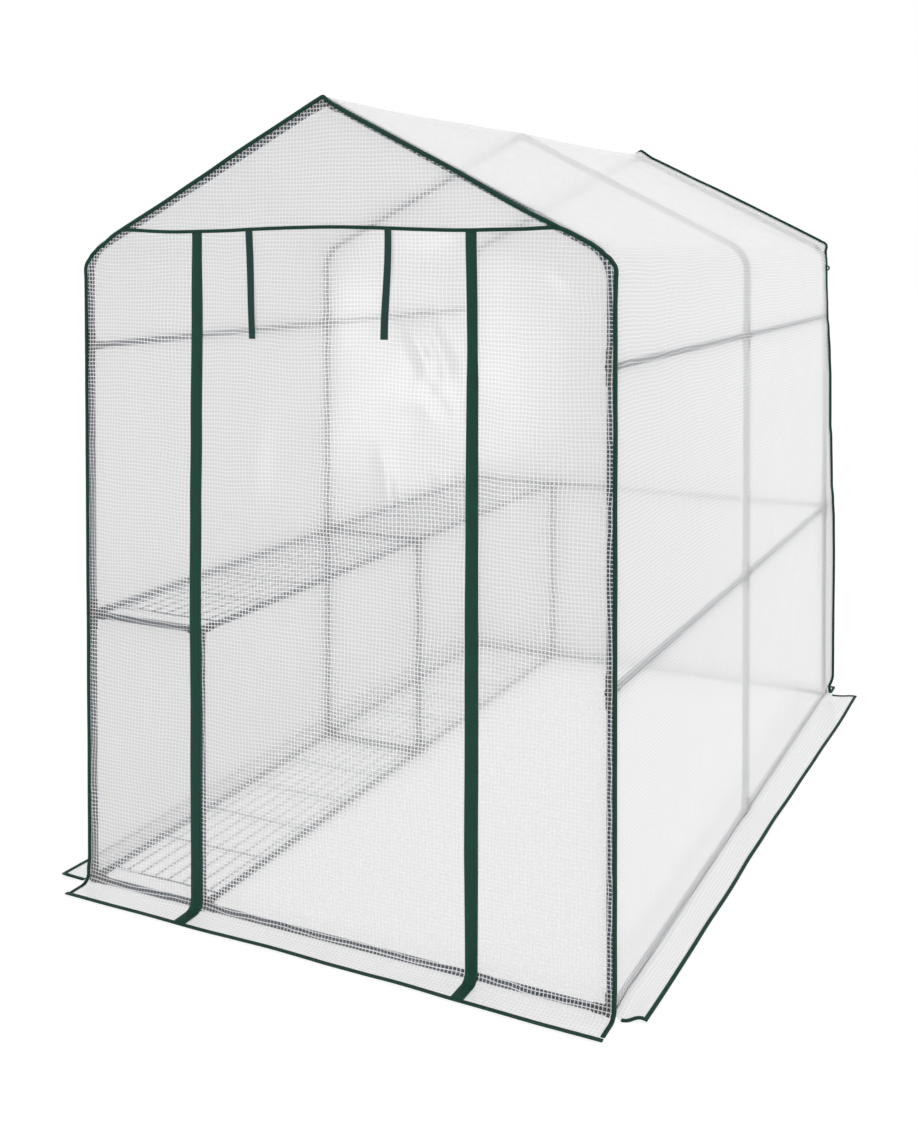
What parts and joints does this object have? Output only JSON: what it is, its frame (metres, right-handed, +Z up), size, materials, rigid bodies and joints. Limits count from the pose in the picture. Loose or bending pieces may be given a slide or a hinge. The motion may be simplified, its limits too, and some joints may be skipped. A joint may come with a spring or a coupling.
{
  "type": "polytunnel greenhouse",
  "caption": "Walk-in film greenhouse with a gabled steel tube frame, a reinforced translucent cover, a zipped roll-up door and a wire shelf stand along one wall.",
  "frame": {"origin": "centre of the footprint on the ground", "axes": "+Z up, the zipped door faces -Y, +X is on the right of someone looking at the door"},
  "size_m": [1.606, 2.326, 1.9655],
  "materials": {
    "frame_paint": "satin dark anthracite paint",
    "shelf_wire": "grey coated wire",
    "joint_plastic": "moulded dark plastic",
    "cover_film": "translucent white film with a woven thread grid",
    "green_tape": "dark green woven binding",
    "tie_webbing": "dark slate green webbing"
  },
  "bodies": {
    "root": {"left_posts": "frame_paint", "right_posts": "frame_paint", "front_rafters": "frame_paint", "middle_rafters": "frame_paint", "back_rafters": "frame_paint", "left_ground_rails": "frame_paint", "left_middle_rails": "frame_paint", "left_upper_rails": "frame_paint", "right_ground_rails": "frame_paint", "right_middle_rails": "frame_paint", "right_upper_rails": "frame_paint", "front_ground_rails": "frame_paint", "back_ground_rails": "frame_paint", "back_middle_rails": "frame_paint", "shelf_legs": "frame_paint", "shelf_cross_bars": "frame_paint", "lower_shelf_rails": "frame_paint", "upper_shelf_rails": "frame_paint", "lower_shelves": "shelf_wire", "upper_shelves": "shelf_wire", "left_joints": "joint_plastic", "right_joints": "joint_plastic", "ridge_joints": "joint_plastic", "shelf_joints": "joint_plastic", "left_wall_sheet": "cover_film", "right_wall_sheet": "cover_film", "roof_sheet": "cover_film", "back_panel": "cover_film", "front_left_panel": "cover_film", "front_right_panel": "cover_film", "front_gable": "cover_film", "roll_up_door": "cover_film", "front_edge_binding": "green_tape", "back_edge_binding": "green_tape", "skirt_bindings": "green_tape", "door_zip_strips": "green_tape", "front_seam_tape": "green_tape", "door_ties": "tie_webbing"}
  },
  "joints": []
}
